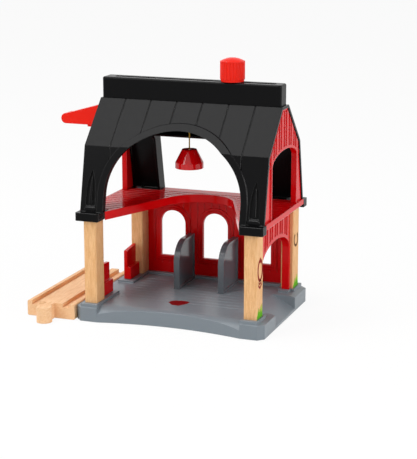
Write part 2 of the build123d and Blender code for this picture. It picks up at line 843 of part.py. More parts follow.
# ================================================================ gables
def gable_outline(shrink=0.0):
    """End of the room under the roof, down to the loft."""
    depth = wall + fit_gap + shrink
    half = roof_line(depth)[1:3] + [(roof_y(loft_top, depth), loft_top)]
    return poly(half + [(-y, z) for y, z in reversed(half)])


def gable(end):
    """End wall under the roof; end is -1 at the track and +1 at the other side."""
    low = loft_top
    outline = gable_outline()
    x0, x1 = sorted((end * gable_out_x, end * (gable_out_x - gable_t)))
    panel = slab_x(outline, x0, x1)
    hole = arch_face(gable_arch_half, 0, gable_spring, gable_crown)
    rim = arch_face(gable_arch_half + bead_w, low, gable_spring, gable_crown + bead_w)
    a, b = sorted((end * (gable_out_x - 1), end * (gable_out_x + bead_proud)))
    panel += slab_x(rim, a, b) & slab_x(outline, a, b)
    # battens above the arch
    a, b = sorted((end * (gable_out_x - 1), end * (gable_out_x + batten_proud)))
    for middle, width in batten_places(knee_y):
        batten = block(a, b, middle - width / 2, middle + width / 2, gable_spring, ridge_z)
        panel += batten & slab_x(gable_outline(1.6), a, b)
    # turned-in jamb round the opening
    a, b = sorted((end * (gable_out_x - gable_jamb), end * (gable_out_x - 0.5)))
    jamb = arch_face(gable_arch_half + 1.8, low, gable_spring, gable_crown + 1.8)
    panel += slab_x(jamb, a, b)
    panel -= slab_x(hole, min(end * far, 0), max(end * far, 0))
    if end < 0:
        window = block(x0 - 3, x1 + 8, -jib_half_y - 0.7, jib_half_y + 0.7, jib_z0 - 1.0, jib_z1 + 0.7)
        slit = block(x0 - 3, x1 + 8, -arm_slot_w / 2, arm_slot_w / 2, gable_spring, jib_z1)
        seat = block(x0 - 3, x0 + 0.0, -arm_flange_half_y - 0.2, arm_flange_half_y + 0.2,
                     arm_lug_z - 0.4, arm_root_z + 0.4)
        panel = panel - window - slit - seat
        for y in (-arm_screw_y, arm_screw_y):
            hole = Pos(-gable_out_x, y, arm_screw_z) * Rot(0, 90, 0) * Cylinder(screw_r + 0.2, 12)
            panel -= hole
    return panel


# ================================================================ ridge cover
def clip_places():
    return (-clip_x, -clip_mid_x, clip_mid_x, clip_x)


def clip_y():
    return ridge_half_y - rim_wall / 2 - 0.1


def ridge_cover():
    body = block(ridge_x0, ridge_x1, -ridge_half_y, ridge_half_y, ridge_z, ridge_top)
    body = fillet(body.edges().filter_by(Axis.Z), ridge_round)
    body = fillet(body.edges().group_by(Axis.Z)[-1], 1.4)
    inner = block(ridge_x0 + rim_wall, ridge_x1 - rim_wall, -ridge_half_y + rim_wall, ridge_half_y - rim_wall,
                  ridge_z - 1, ridge_top - rim_wall)
    body -= inner
    slot = SlotOverall(knob_slot_x1 - knob_slot_x0, knob_slot_w)
    middle = (knob_slot_x0 + knob_slot_x1) / 2
    body -= Pos(middle, 0, 0) * slab_z(slot, ridge_z, ridge_top + 5)
    for x in clip_places():
        for side in (-1, 1):
            y = side * clip_y()
            leg = block(x - clip_len / 2, x + clip_len / 2, y - clip_t / 2, y + clip_t / 2,
                        ridge_z - wall - 1.8, ridge_z + 3)
            a, b = sorted((y - side * clip_t / 2, y - side * (clip_t / 2 + clip_barb)))
            barb = block(x - clip_len / 2, x + clip_len / 2, a, b, ridge_z - wall - 1.8, ridge_z - wall - 0.1)
            body += leg
            body += barb
    return body


# ================================================================ hoist
def carriage():
    """Slider in the ridge cover, neck through the roof, and jib under it."""
    x0, x1 = knob_x - block_left, knob_x + block_right
    slider = block(x0, x1, -block_half_y, block_half_y, ridge_z + slide_gap, ridge_top - rim_wall - slide_gap)
    slider -= block(x0 + 1.6, x1 - 1.6, -block_half_y + 1.4, block_half_y - 1.4,
                    ridge_z + 3, ridge_top - rim_wall - 2.4)
    neck = block(knob_x - neck_half_x, knob_x + neck_half_x, -neck_half_y, neck_half_y, case_top - 1, ridge_z + 1)
    shaft_room = rod(knob_x, 0, drum_z0 - 5, ridge_top + 5, shaft_r + pin_gap)
    neck_tube = rod(knob_x, 0, drum_z0 + drum_h + 0.4, case_top, shaft_r + 1.6)
    case = rod(knob_x, 0, jib_z0, drum_z0 + drum_h + 2.0, case_r)
    case -= rod(knob_x, 0, drum_z0 - 2, drum_z0 + drum_h + 0.3, drum_flange_r + 0.35)
    jib = block(string_x - 3.0, knob_x - 4, -jib_half_y, jib_half_y, jib_z0, jib_z1)
    jib = fillet(jib.edges().filter_by(Axis.Z).group_by(Axis.X)[0], 2.4)
    tunnel = block(string_x - 0.9, knob_x, -1.2, 1.2, jib_z0 + 1.4, jib_z1 - 1.2)
    mouth = rod(string_x, 0, jib_z0 - 1, jib_z0 + 3, eyelet_r)
    lower = case + jib
    lower -= rod(knob_x, 0, jib_z0 - 1, drum_z0 + drum_h + 0.3, drum_flange_r + 0.35)
    lower = lower - tunnel - mouth
    brace = block(knob_x - neck_half_x, knob_x + neck_half_x, -neck_half_y, neck_half_y,
                  drum_z0 + drum_h + 0.4, case_top)
    solid = slider + neck + neck_tube + brace + lower
    solid -= shaft_room
    return solid


def chimney_knob():
    collar_z, dome_z = knob_bottom + 1.6, knob_top - knob_dome
    step = math.pi / knob_ribs
    rim = []
    for k in range(2 * knob_ribs):
        r = knob_r - (k % 2) * rib_depth
        for turn in (k - 0.3, k + 0.3):
            rim.append((knob_x + r * math.cos(turn * step), r * math.sin(turn * step)))
    body = slab_z(poly(rim), collar_z, dome_z)
    body += rod(knob_x, 0, knob_bottom, collar_z, knob_r - rib_depth)
    r = knob_r - rib_depth / 2
    dome_r = (r ** 2 + knob_dome ** 2) / (2 * knob_dome)
    body += rod(knob_x, 0, dome_z - 1, knob_top, r) & Pos(knob_x, 0, knob_top - dome_r) * Sphere(dome_r)
    shaft = rod(knob_x, 0, drum_z0 + drum_h - 0.1, knob_bottom + 1, shaft_r)
    bore = rod(knob_x, 0, drum_z0, drum_z0 + screw_len, screw_r)
    return body + shaft - bore


def winch_drum():
    core = rod(knob_x, 0, drum_z0, drum_z0 + drum_h - 0.1, drum_r - string_r)
    low = rod(knob_x, 0, drum_z0, drum_z0 + 0.9, drum_flange_r)
    high = rod(knob_x, 0, drum_z0 + drum_h - 1.0, drum_z0 + drum_h - 0.1, drum_flange_r)
    drum = core + low + high
    drum -= rod(knob_x, 0, drum_z0 - 1, drum_z0 + drum_h + 1, screw_r + 0.02)
    return drum


def string_coil():
    """Turns of string wound on the drum."""
    low, high = drum_z0 + 0.95, drum_z0 + drum_h - 1.05
    coil = rod(knob_x, 0, low, high, drum_r + string_r)
    return coil - rod(knob_x, 0, low - 1, high + 1, drum_r - string_r + 0.02)


def knob_screw():
    return screw(knob_x, 0, drum_z0, True)


def guide_eyelet():
    """Polished ring in the jib's mouth that turns the string downwards."""
    ring = rod(string_x, 0, jib_z0 - 0.2, jib_z0 + 1.4, eyelet_r)
    ring -= rod(string_x, 0, jib_z0 - 2, jib_z0 + 3, string_r + 0.25)
    return ring


def string_fall():
    """The part of the string that hangs from the jib to the magnet."""
    return rod(string_x, 0, bell_top - bell_wall, run_z() - string_r, string_r)


def run_z():
    """Height of the string inside the jib."""
    return (jib_z0 + jib_z1) / 2 + 0.1


def string_run():
    """The part of the string inside the jib, from the drum to the guide."""
    x0 = string_x - string_r
    x1 = knob_x - drum_flange_r - slide_gap
    turn = Rot(0, 90, 0)
    return Pos((x0 + x1) / 2, 0, run_z()) * turn * Cylinder(string_r, x1 - x0)


def magnet_cup():
    outer = Polyline((0, bell_bottom), (bell_r, bell_bottom), (bell_r, bell_skirt_z), (bell_top_r, bell_top),
                     (0, bell_top), close=True)
    w = bell_wall
    inner = Polyline((0, bell_bottom - 1), (bell_r - w, bell_bottom - 1), (bell_r - w, bell_skirt_z),
                     (bell_top_r - w, bell_top - w - 1), (0, bell_top - w - 1), close=True)
    cup = revolve(Plane.XZ * make_face(outer), Axis.Z) - revolve(Plane.XZ * make_face(inner), Axis.Z)
    step = rod(0, 0, bell_bottom + magnet_h + 0.1, bell_bottom + magnet_h + 1.3, bell_r - w + 0.1)
    step -= rod(0, 0, bell_bottom, bell_top, magnet_r - 1.4)
    cup += step
    cup -= rod(0, 0, bell_top - 6, bell_top + 1, string_r + 0.03)
    return Pos(string_x, 0, 0) * cup


def magnet_disc():
    disc = rod(string_x, 0, bell_bottom + 0.3, bell_bottom + magnet_h, magnet_r)
    return chamfer(disc.edges().group_by(Axis.Z)[0], 0.4)


def string_knot():
    """Knot that keeps the string from slipping out of the bell."""
    middle = bell_top - bell_wall - 1 - knot_r - 0.05
    knot = rod(string_x, 0, middle - knot_r, middle + knot_r, knot_r)
    return chamfer(knot.edges().filter_by(GeomType.CIRCLE), knot_r / 3)


# ================================================================ arm
def hoist_arm():
    root = -gable_out_x
    side = Polyline((root, arm_z0), (arm_nose_x, arm_z0))
    side += ThreePointArc((arm_nose_x, arm_z0), (arm_tip_x, (arm_z0 + arm_tip_z) / 2), (arm_nose_x, arm_tip_z))
    side += Polyline((arm_nose_x, arm_tip_z), (root, arm_root_z), (root, arm_z0))
    body = slab_y(make_face(side), -arm_half_y, arm_half_y)
    top_in = arm_root_z - arm_wall * 1.2
    tip_in = arm_tip_z - arm_wall * 1.2
    room = poly([(root + 1, arm_z0 + arm_wall), (arm_nose_x + 1.5, arm_z0 + arm_wall),
                 (arm_nose_x + 1.5, tip_in + 0.4), (root + 1, top_in)])
    body -= slab_y(room, -arm_half_y + arm_wall, arm_half_y - arm_wall)
    flange = block(root - arm_flange_t, root, -arm_flange_half_y, arm_flange_half_y, arm_lug_z, arm_root_z)
    flange -= block(root - 9, root + 9, -arm_half_y + arm_wall, arm_half_y - arm_wall,
                    arm_z0 + arm_wall, arm_root_z - arm_wall * 2)
    lug = block(arm_lug_x, root, -arm_lug_half_y, arm_lug_half_y, arm_lug_z, arm_z0 + 0.5)
    body = body + flange + lug
    body -= block(arm_slot_end, root + 1, -arm_slot_w / 2, arm_slot_w / 2, arm_lug_z - 1, arm_z0 + arm_wall + 1)
    for y in (-arm_screw_y, arm_screw_y):
        body -= Pos(root, y, arm_screw_z) * Rot(0, 90, 0) * Cylinder(screw_r, 8)
    return body


def arm_screws():
    group = []
    for y in (-arm_screw_y, arm_screw_y):
        shank = Pos(0, 0, arm_screw_len / 2) * Cylinder(screw_r - 0.02, arm_screw_len)
        head = Pos(0, 0, -screw_head_h / 2) * Cylinder(arm_screw_head_r, screw_head_h)
        piece = shank + head
        group.append(Pos(-gable_out_x + gable_t, y, arm_screw_z) * Rot(0, -90, 0) * piece)
    return Compound(children=group)


# ================================================================ track
def rail_track():
    x1 = track_right_x
    x0 = x1 - track_w
    mid = track_mid_x
    y0 = track_front_y
    y1 = y0 + track_len
    bed = block(x0, x1, y0, y1, 0, track_h)
    bed = chamfer(bed.edges().filter_by(Axis.Y), track_edge)
    for side in (-1, 1):
        x = mid + side * groove_gauge / 2
        bed -= block(x - groove_w / 2, x + groove_w / 2, y0 - 1, y1 + 1, track_h - groove_d, track_h + 1)
    peg = rod(mid, y0 - joint_reach, 0, track_h, joint_r)
    peg += block(mid - joint_neck / 2, mid + joint_neck / 2, y0 - joint_reach, y0 + 1, 0, track_h)
    bed += peg
    bed -= rod(mid, y1 - socket_depth, -1, track_h + 1, socket_r)
    bed -= block(mid - socket_neck / 2, mid + socket_neck / 2, y1 - socket_depth, y1 + 1, -1, track_h + 1)
    return bed


def main():
    save(base_plate(), "base_plate")
    for (sx, sy), word in corners():
        save(post(sx, sy), "post_" + word)
    seats = [(sx * post_x, sy * post_y) for (sx, sy), _ in corners()]
    save(Compound(children=[screw(x, y, screw_sink, True) for x, y in seats]), "base_screws")
    seats = [(sx * post_x, sy * loft_screw_y) for (sx, sy), _ in corners()]
    save(Compound(children=[screw(x, y, post_top + lug_t, False) for x, y in seats]), "loft_screws")
    save(stall_divider(-stall_x), "stall_divider_left")
    save(stall_divider(stall_x), "stall_divider_right")
    save(rear_wall(), "rear_wall")
    save(side_arch(), "side_arch_right")
    save(gate(-1), "gate_front")
    save(gate(1), "gate_rear")
    save(loft_floor(), "loft_floor")
    save(roof_half(-1), "roof_front")
    save(roof_half(1), "roof_rear")
    save(gable(-1), "gable_left")
    save(gable(1), "gable_right")
    save(ridge_cover(), "ridge_cover")
    save(carriage(), "hoist_carriage")
    save(chimney_knob(), "chimney_knob")
    save(winch_drum(), "winch_drum")
    save(string_coil(), "string_coil")
    save(knob_screw(), "knob_screw")
    save(guide_eyelet(), "guide_eyelet")
    save(string_run(), "string_run")
    save(string_fall(), "hoist_string")
    save(string_knot(), "string_knot")
    save(magnet_cup(), "magnet_cup")
    save(magnet_disc(), "magnet_disc")
    save(hoist_arm(), "hoist_arm")
    save(arm_screws(), "arm_screws")
    save(rail_track(), "rail_track")


main()
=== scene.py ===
import json
import math
import random

import bmesh
import bpy
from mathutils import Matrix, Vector


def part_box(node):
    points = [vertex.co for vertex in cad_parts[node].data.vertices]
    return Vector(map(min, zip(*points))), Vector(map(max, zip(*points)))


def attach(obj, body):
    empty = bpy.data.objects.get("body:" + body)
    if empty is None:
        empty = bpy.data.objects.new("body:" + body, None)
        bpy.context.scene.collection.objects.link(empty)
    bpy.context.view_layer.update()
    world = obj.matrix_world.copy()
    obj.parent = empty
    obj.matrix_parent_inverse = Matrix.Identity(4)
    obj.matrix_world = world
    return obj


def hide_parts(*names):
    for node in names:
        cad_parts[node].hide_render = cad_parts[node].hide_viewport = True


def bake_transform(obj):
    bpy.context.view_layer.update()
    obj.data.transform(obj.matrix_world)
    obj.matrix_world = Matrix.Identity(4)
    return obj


# Toy barn with a travelling hoist, on a white table. Metres, +Z up, the open front faces -Y.

MM = 0.001

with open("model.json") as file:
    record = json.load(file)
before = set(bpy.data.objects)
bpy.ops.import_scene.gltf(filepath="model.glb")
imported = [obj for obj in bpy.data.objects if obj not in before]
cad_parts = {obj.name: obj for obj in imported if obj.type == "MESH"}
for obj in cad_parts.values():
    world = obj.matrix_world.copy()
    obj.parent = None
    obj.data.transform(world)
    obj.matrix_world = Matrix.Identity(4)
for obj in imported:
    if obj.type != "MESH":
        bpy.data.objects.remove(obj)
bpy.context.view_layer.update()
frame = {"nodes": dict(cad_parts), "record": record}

# ------------------------------------------------------------------ colours, sRGB
RED = "#d2040a"             # walls, loft, gates and bell
# The chimney and arm are an orange-red of their own, and this colour is also painted lighter than
# that plastic: painted light for the strong light that falls on top of the barn.
ORANGE_RED_WITH_PAINTED_LIGHT = "#e9200f"      # chimney and arm
BLACK = "#0b0b0c"
GREY = "#7a838a"            # base
DARK_GREY = "#5d6369"       # stall dividers
BEECH_LIGHT = "#f2c38e"     # posts
BEECH_DARK = "#dea66c"
TRACK_LIGHT = "#fad1a5"     # track, out of a paler plank
TRACK_DARK = "#e5b381"
BEECH_FLECK = "#a86f45"
STEEL = "#c9ccd0"
YELLOW = "#c39a1c"          # string
ROPE_INK = "#8a1a12"
SHOE_INK = "#6a4526"
GRASS_INK = "#63ae24"
YOUNG_GRASS_INK = "#a9c94e"
FEED_INK = "#7f0b10"
TABLE = "#f4f4f4"
WHITE = (1.0, 1.0, 1.0, 1.0)

# ------------------------------------------------------------------ finishes: sizes in mm
MOULDED_EDGE = 0.7          # rounding that the light finds on a moulded edge
ORANGE_PEEL = 2.2           # pitch of the faint waviness of a moulded skin
ORANGE_PEEL_DEPTH = 0.003
HAZE = 18.0                 # how far apart the duller and the shinier patches lie
SANDED_EDGE = 0.6
RING = 3.4                  # width of a growth ring where the saw cut it at a slant
FLECK = 0.8                 # each cell of this width holds one ray fleck, a third as wide
FIBRE = 0.35                # real fibres are a tenth as wide: as coarse as they need to be to show
FIBRE_DEPTH = 0.02
BLOOM = 0.8                 # real crystals of the plating are far finer: coarse so that they show
THINNING = 1.5              # width of the places where ink lies thin
FUZZ = (0.25, 0.6)          # width and length; real fibres are a tenth as wide: coarse to show

# ------------------------------------------------------------------ finishes: parts and times
RING_LENGTH = 14            # how many times as long as wide, along the grain
FLECK_LENGTH = 6
FIBRE_LENGTH = 40
RING_EDGES = (0.36, 0.62)   # levels of the noise at which the wood is all dark and all light
FLECK_RIM = (0.12, 0.26)    # parts of a cell at which a fleck is whole and gone
FLECK_COVER = 0.8           # how much of the wood's own colour a whole fleck hides
FIBRE_EDGES = (0.3, 0.7)    # levels of the noise that make the darkest and the lightest fibre
FIBRE_TONE = (0.88, 1.07)   # tone of the wood in these two
PATCHES = (0.8, 1.25)       # of a moulding's roughness, in its shiniest and its dullest patch
PLATING = (0.7, 1.4)        # the same for plated steel
EDGE_ROUGH = 0.12           # of the glint on a moulded edge, which the mould polishes most
EDGE_TURN = (0.97, 0.75)    # cosines of the turn at which the glint starts and is whole
INK_TONE = (0.8, 1.15)      # tone of the ink where it lies thick and thin
COTTON_TONE = (0.55, 1.0)   # tone of the string in its darkest and lightest fibres

# ------------------------------------------------------------------ string and prints, mm
STRING_D = 1.1
STRING_LAY = 2.2            # one turn of the twist
BEND_REACH = 6 * STRING_D   # from the guide ring to the route's next points; the bend starts halfway
FURROW = 0.11               # half the depth of a furrow between strands, in radii of the string
INK_T = 0.05                # a printed layer is thinner: thick enough to be a shape of its own
CLEAR = 0.05                # the grass starts this much above the base

# ------------------------------------------------------------------ camera: metres and degrees
EYE = Vector((0.3857, -1.0168, 0.3305))
AZIMUTH = 20.18
ELEVATION = 13.73
ROLL = -0.05
LENS = 113.14               # mm, as is the sensor
SENSOR = 36.0
FAR = 50.0

# ------------------------------------------------------------------ light: metres and watts
BARN_MIDDLE = Vector((0, 0, 0.08))
LAMPS = {
    "overhead": {"spot": (-0.35, -0.30, 1.3), "size": (0.8, 0.7), "watts": 9.0},
    "front_left": {"spot": (-0.9, -1.2, 0.9), "size": (0.7, 0.9), "watts": 7.0},
    "right": {"spot": (1.3, -0.2, 0.5), "size": (0.6, 0.8), "watts": 7.0},
}
FILL = 0.5                  # what the white room adds to the lamps
WHITENESS = 0.91            # share of the table that shows plain white; the rest takes shadows
TABLE_HALF = 9.0
TABLE_DROP = 0.0005         # the table lies this much under the feet


def linear(code, tone=1.0):
    """A colour written as sRGB hex, made darker or lighter by a tone, as linear RGBA."""
    out = []
    for k in (1, 3, 5):
        v = int(code[k : k + 2], 16) / 255
        v = v / 12.92 if v <= 0.04045 else ((v + 0.055) / 1.055) ** 2.4
        out.append(min(v * tone, 1.0))
    return (*out, 1.0)


def add(tree, kind, links=None, **settings):
    """A shader node with its settings; links maps its inputs to values or to other outputs."""
    made = tree.nodes.new("ShaderNode" + kind)
    for name, value in settings.items():
        setattr(made, name, value)
    for name, value in (links or {}).items():
        if isinstance(value, bpy.types.NodeSocket):
            tree.links.new(value, made.inputs[name])
        else:
            made.inputs[name].default_value = value
    return made


def blank(name):
    """A new material with its tree and its surface shader."""
    mat = bpy.data.materials.new(name)
    mat.use_nodes = True
    return mat, mat.node_tree, mat.node_tree.nodes["Principled BSDF"]


def pattern(tree, across, along=None, axis="Z"):
    """The place on the object counted in sizes of a pattern in mm, often longer along an axis."""
    per_size = [1 / (across * MM)] * 3
    per_size["XYZ".index(axis)] = 1 / ((along or across) * MM)
    place = add(tree, "TexCoord").outputs["Object"]
    return add(tree, "VectorMath", {0: place, 1: per_size}, operation="MULTIPLY").outputs[0]


# ------------------------------------------------------------------ finishes
def moulded_abs(name, colour, rough, shine):
    """ABS injected into a polished mould: one even colour under a gloss.

    The eye gets reflections that are clearer in some patches than in others and waver a
    little, and thin glints along the rounded edges, from a coat that is kept to the edges.
    """
    mat, tree, surface = blank(name)
    surface.inputs["Base Color"].default_value = linear(colour)
    surface.inputs["Specular IOR Level"].default_value = shine
    surface.inputs["Coat Roughness"].default_value = EDGE_ROUGH

    haze = add(tree, "TexNoise", {"Vector": pattern(tree, HAZE), "Detail": 3.0})
    gloss = add(tree, "MapRange", {"Value": haze.outputs[0],
                                   "To Min": rough * PATCHES[0], "To Max": rough * PATCHES[1]})
    tree.links.new(gloss.outputs[0], surface.inputs["Roughness"])

    edge = add(tree, "Bevel", {"Radius": MOULDED_EDGE * MM}, samples=6).outputs[0]
    face = add(tree, "NewGeometry").outputs["Normal"]
    turn = add(tree, "VectorMath", {0: edge, 1: face}, operation="DOT_PRODUCT")
    glint = add(tree, "MapRange", {"Value": turn.outputs["Value"],
                                   "From Min": EDGE_TURN[0], "From Max": EDGE_TURN[1]})
    tree.links.new(glint.outputs[0], surface.inputs["Coat Weight"])
    tree.links.new(edge, surface.inputs["Coat Normal"])

    peel = add(tree, "TexNoise", {"Vector": pattern(tree, ORANGE_PEEL), "Detail": 1.0})
    bump = add(tree, "Bump", {"Height": peel.outputs[0], "Distance": ORANGE_PEEL_DEPTH * MM,
                              "Normal": edge})
    tree.links.new(bump.outputs[0], surface.inputs["Normal"])
    return mat


def sanded_beech(name, axis, light, dark):
    """Steamed beech, planed and sanded, with its grain along an axis.

    The eye gets a dull surface of pale pink-tan rings, fine fibres, and short dark ray flecks.
    """
    mat, tree, surface = blank(name)
    surface.inputs["Roughness"].default_value = 0.55
    surface.inputs["Specular IOR Level"].default_value = 0.2

    rings = add(tree, "TexNoise", {"Vector": pattern(tree, RING, RING * RING_LENGTH, axis),
                                   "Detail": 4.0, "Roughness": 0.6, "Distortion": 0.6})
    tone = add(tree, "ValToRGB", {"Fac": rings.outputs[0]})
    for stop, position, colour in zip(tone.color_ramp.elements, RING_EDGES, (dark, light)):
        stop.position = position
        stop.color = linear(colour)

    fibre = add(tree, "TexNoise", {"Vector": pattern(tree, FIBRE, FIBRE * FIBRE_LENGTH, axis),
                                   "Detail": 3.0})
    shade = add(tree, "MapRange", {"Value": fibre.outputs[0],
                                   "From Min": FIBRE_EDGES[0], "From Max": FIBRE_EDGES[1],
                                   "To Min": FIBRE_TONE[0], "To Max": FIBRE_TONE[1]})
    fibred = add(tree, "VectorMath", {0: tone.outputs[0], "Scale": shade.outputs[0]},
                 operation="SCALE")

    cells = add(tree, "TexVoronoi",
                {"Vector": pattern(tree, FLECK, FLECK * FLECK_LENGTH, axis)})
    fleck = add(tree, "MapRange", {"Value": cells.outputs["Distance"],
                                   "From Min": FLECK_RIM[0], "From Max": FLECK_RIM[1],
                                   "To Min": FLECK_COVER, "To Max": 0.0})
    wood = add(tree, "MixRGB", {"Fac": fleck.outputs[0], "Color1": fibred.outputs[0],
                                "Color2": linear(BEECH_FLECK)})
    tree.links.new(wood.outputs[0], surface.inputs["Base Color"])

    edge = add(tree, "Bevel", {"Radius": SANDED_EDGE * MM}, samples=4)
    bump = add(tree, "Bump", {"Height": fibre.outputs[0], "Distance": FIBRE_DEPTH * MM,
                              "Normal": edge.outputs[0]})
    tree.links.new(bump.outputs[0], surface.inputs["Normal"])
    return mat


def plated_steel(name, rough):
    """Steel with a bright plating: a grey mirror, blurred a little and not evenly."""
    mat, tree, surface = blank(name)
    surface.inputs["Base Color"].default_value = linear(STEEL)
    surface.inputs["Metallic"].default_value = 1.0
    bloom = add(tree, "TexNoise", {"Vector": pattern(tree, BLOOM), "Detail": 2.0})
    gloss = add(tree, "MapRange", {"Value": bloom.outputs[0],
                                   "To Min": rough * PLATING[0], "To Max": rough * PLATING[1]})
    tree.links.new(gloss.outputs[0], surface.inputs["Roughness"])
    return mat


def pad_printed_ink(name, colour):
    """Pad-printed ink: a matt skin whose tone is lighter in the places where it lies thin."""
    mat, tree, surface = blank(name)
    surface.inputs["Roughness"].default_value = 0.6
    surface.inputs["Specular IOR Level"].default_value = 0.05
    thin = add(tree, "TexNoise", {"Vector": pattern(tree, THINNING), "Detail": 3.0})
    tone = add(tree, "ValToRGB", {"Fac": thin.outputs[0]})
    for stop, share in zip(tone.color_ramp.elements, INK_TONE):
        stop.color = linear(colour, share)
    tree.links.new(tone.outputs[0], surface.inputs["Base Color"])
    return mat


def twisted_cotton(name, colour):
    """String twisted out of cotton yarn: dull and a little downy, with uneven darker fibres."""
    mat, tree, surface = blank(name)
    surface.inputs["Roughness"].default_value = 0.85
    surface.inputs["Sheen Weight"].default_value = 0.3
    fuzz = add(tree, "TexNoise", {"Vector": pattern(tree, *FUZZ), "Detail": 3.0})
    tone = add(tree, "ValToRGB", {"Fac": fuzz.outputs[0]})
    for stop, share in zip(tone.color_ramp.elements, COTTON_TONE):
        stop.color = linear(colour, share)
    tree.links.new(tone.outputs[0], surface.inputs["Base Color"])
    return mat


cotton = twisted_cotton("yellow_twisted_cotton", YELLOW)
finish = {
    "grey_plastic": moulded_abs("moulded_grey_abs", GREY, rough=0.34, shine=0.3),
    "red_plastic": moulded_abs("moulded_red_abs", RED, rough=0.12, shine=0.12),
    # The chimney and arm's red carries painted light: it is lighter than their plastic, for the
    # light on top of the barn.
    "bright_red_plastic": moulded_abs("moulded_orange_red_abs_with_painted_light", ORANGE_RED_WITH_PAINTED_LIGHT, rough=0.18,
                                      shine=0.12),
    "black_plastic": moulded_abs("moulded_black_abs", BLACK, rough=0.24, shine=0.08),
    "screw_steel": plated_steel("zinc_plated_steel", rough=0.35),
    "plated_steel": plated_steel("nickel_plated_steel", rough=0.15),
    "string": cotton,
    "beech": sanded_beech("sanded_beech_upright", "Z", BEECH_LIGHT, BEECH_DARK),
}
dark_grey = moulded_abs("moulded_dark_grey_abs", DARK_GREY, rough=0.16, shine=0.35)
own_finish = {
    "stall_divider_left": dark_grey,
    "stall_divider_right": dark_grey,
    "rail_track": sanded_beech("sanded_beech_lengthwise", "Y", TRACK_LIGHT, TRACK_DARK),
    "magnet_cup": moulded_abs("moulded_polished_red_abs", RED, rough=0.08, shine=0.45),
}

for entry in frame["record"]["subparts"]:
    wanted = own_finish.get(entry["node"], finish[entry["material_slot"]])
    for slot in frame["nodes"][entry["node"]].material_slots:
        slot.material = wanted


# ------------------------------------------------------------------ pieces from mesh code
def mesh_object(name, build, material):
    """An object whose mesh build(bm) fills in."""
    bm = bmesh.new()
    build(bm)
    bmesh.ops.recalc_face_normals(bm, faces=bm.faces)
    mesh = bpy.data.meshes.new(name)
    bm.to_mesh(mesh)
    bm.free()
    mesh.materials.append(material)
    made = bpy.data.objects.new(name, mesh)
    bpy.context.collection.objects.link(made)
    return made


# ------------------------------------------------------------------ string
string_low, string_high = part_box("hoist_string")
run_low, run_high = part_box("string_run")
string_x = (string_low.x + string_high.x) / 2
run_z = (run_low.z + run_high.z) / 2

string_route = [
    (run_high.x, 0, run_z),
    (string_x + BEND_REACH * MM, 0, run_z),
    (string_x, 0, run_z),
    (string_x, 0, run_z - BEND_REACH * MM),
    (string_x, 0, string_low.z),
]


def smooth_line(name, route, steps):
    """Points along the smooth line that a route's points pull into shape."""
    curve = bpy.data.curves.new(name, "CURVE")
    curve.dimensions = "3D"
    curve.resolution_u = steps
    spline = curve.splines.new("NURBS")
    spline.points.add(len(route) - 1)
    for point, spot in zip(spline.points, route):
        point.co = (*spot, 1.0)
    spline.order_u = 3
    spline.use_endpoint_u = True
    guide = bpy.data.objects.new(name, curve)
    mesh = bpy.data.meshes.new_from_object(guide)
    points = [v.co.copy() for v in mesh.vertices]
    bpy.data.objects.remove(guide)
    bpy.data.curves.remove(curve)
    bpy.data.meshes.remove(mesh)
    return points


string_line = smooth_line("string_route", string_route, steps=24)


def three_strands(bm):
    """Three strands twisted together: rings of points along the string's line, with three lobes."""
    sides, travelled, rows = 18, 0.0, []
    across = Vector((0, 1, 0))
    last = len(string_line) - 1
    for k, here in enumerate(string_line):
        ahead = (string_line[min(k + 1, last)] - string_line[max(k - 1, 0)]).normalized()
        if k:
            travelled += (here - string_line[k - 1]).length
        up = ahead.cross(across)
        twist = 2 * math.pi * travelled / (STRING_LAY * MM)
        row = []
        for j in range(sides):
            a = 2 * math.pi * j / sides
            lobe = 1 - FURROW + FURROW * math.cos(3 * a - twist)
            r = STRING_D / 2 * MM * lobe
            row.append(bm.verts.new(here + (across * math.cos(a) + up * math.sin(a)) * r))
        rows.append(row)
    for a, b in zip(rows, rows[1:]):
        for j in range(sides):
            n = (j + 1) % sides
            bm.faces.new((a[j], a[n], b[n], b[j]))
    bm.faces.new(rows[0])
    bm.faces.new(rows[-1])


string = mesh_object("hoist_string_twisted", three_strands, cotton)
for face in string.data.polygons:
    face.use_smooth = True
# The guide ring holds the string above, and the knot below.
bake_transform(string)
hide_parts("hoist_string", "string_run")


# ------------------------------------------------------------------ prints, all sizes in mm
def plate(bm, outline, put, thick=INK_T):
    """A thin plate from a closed outline; put(u, v, w) gives the place w off the surface."""
    low = [bm.verts.new(put(u, v, 0.0)) for u, v in outline]
    top = [bm.verts.new(put(u, v, thick)) for u, v in outline]
    bm.faces.new(top)
    count = len(outline)
    for k in range(count):
        n = (k + 1) % count
        bm.faces.new((low[k], low[n], top[n], top[k]))


def ribbon(bm, line, width, put, closed=False):
    """A printed line of even width along the points of line."""
    count = len(line)
    rails = []
    for k in range(count):
        before = line[k - 1] if closed or k else line[0]
        after = line[(k + 1) % count] if closed or k < count - 1 else line[-1]
        du, dv = after[0] - before[0], after[1] - before[1]
        length = math.hypot(du, dv) or 1.0
        nu, nv = -dv / length * width / 2, du / length * width / 2
        u, v = line[k]
        rails.append(((u + nu, v + nv), (u - nu, v - nv)))
    top = [[bm.verts.new(put(u, v, INK_T)) for u, v in pair] for pair in rails]
    low = [[bm.verts.new(put(u, v, 0.0)) for u, v in pair] for pair in rails]
    for k in range(count if closed else count - 1):
        n = (k + 1) % count
        bm.faces.new((top[k][0], top[k][1], top[n][1], top[n][0]))
        for side in (0, 1):
            bm.faces.new((low[k][side], low[n][side], top[n][side], top[k][side]))


def oval(middle, half, start=0, end=360, steps=28):
    """Points of an oval or a part of it, in degrees; a whole one doesn't repeat its first."""
    last = steps if end - start == 360 else steps + 1
    span = [math.radians(start + (end - start) * k / steps) for k in range(last)]
    return [(middle[0] + half[0] * math.cos(a), middle[1] + half[1] * math.sin(a)) for a in span]


def on_post_side(node):
    """Places on the +X face of a post: u along Y from the face's middle, v up from the table."""
    low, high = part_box(node)
    middle = (low.y + high.y) / 2

    def put(u, v, w):
        return Vector((high.x + w * MM, middle + u * MM, v * MM))

    return put


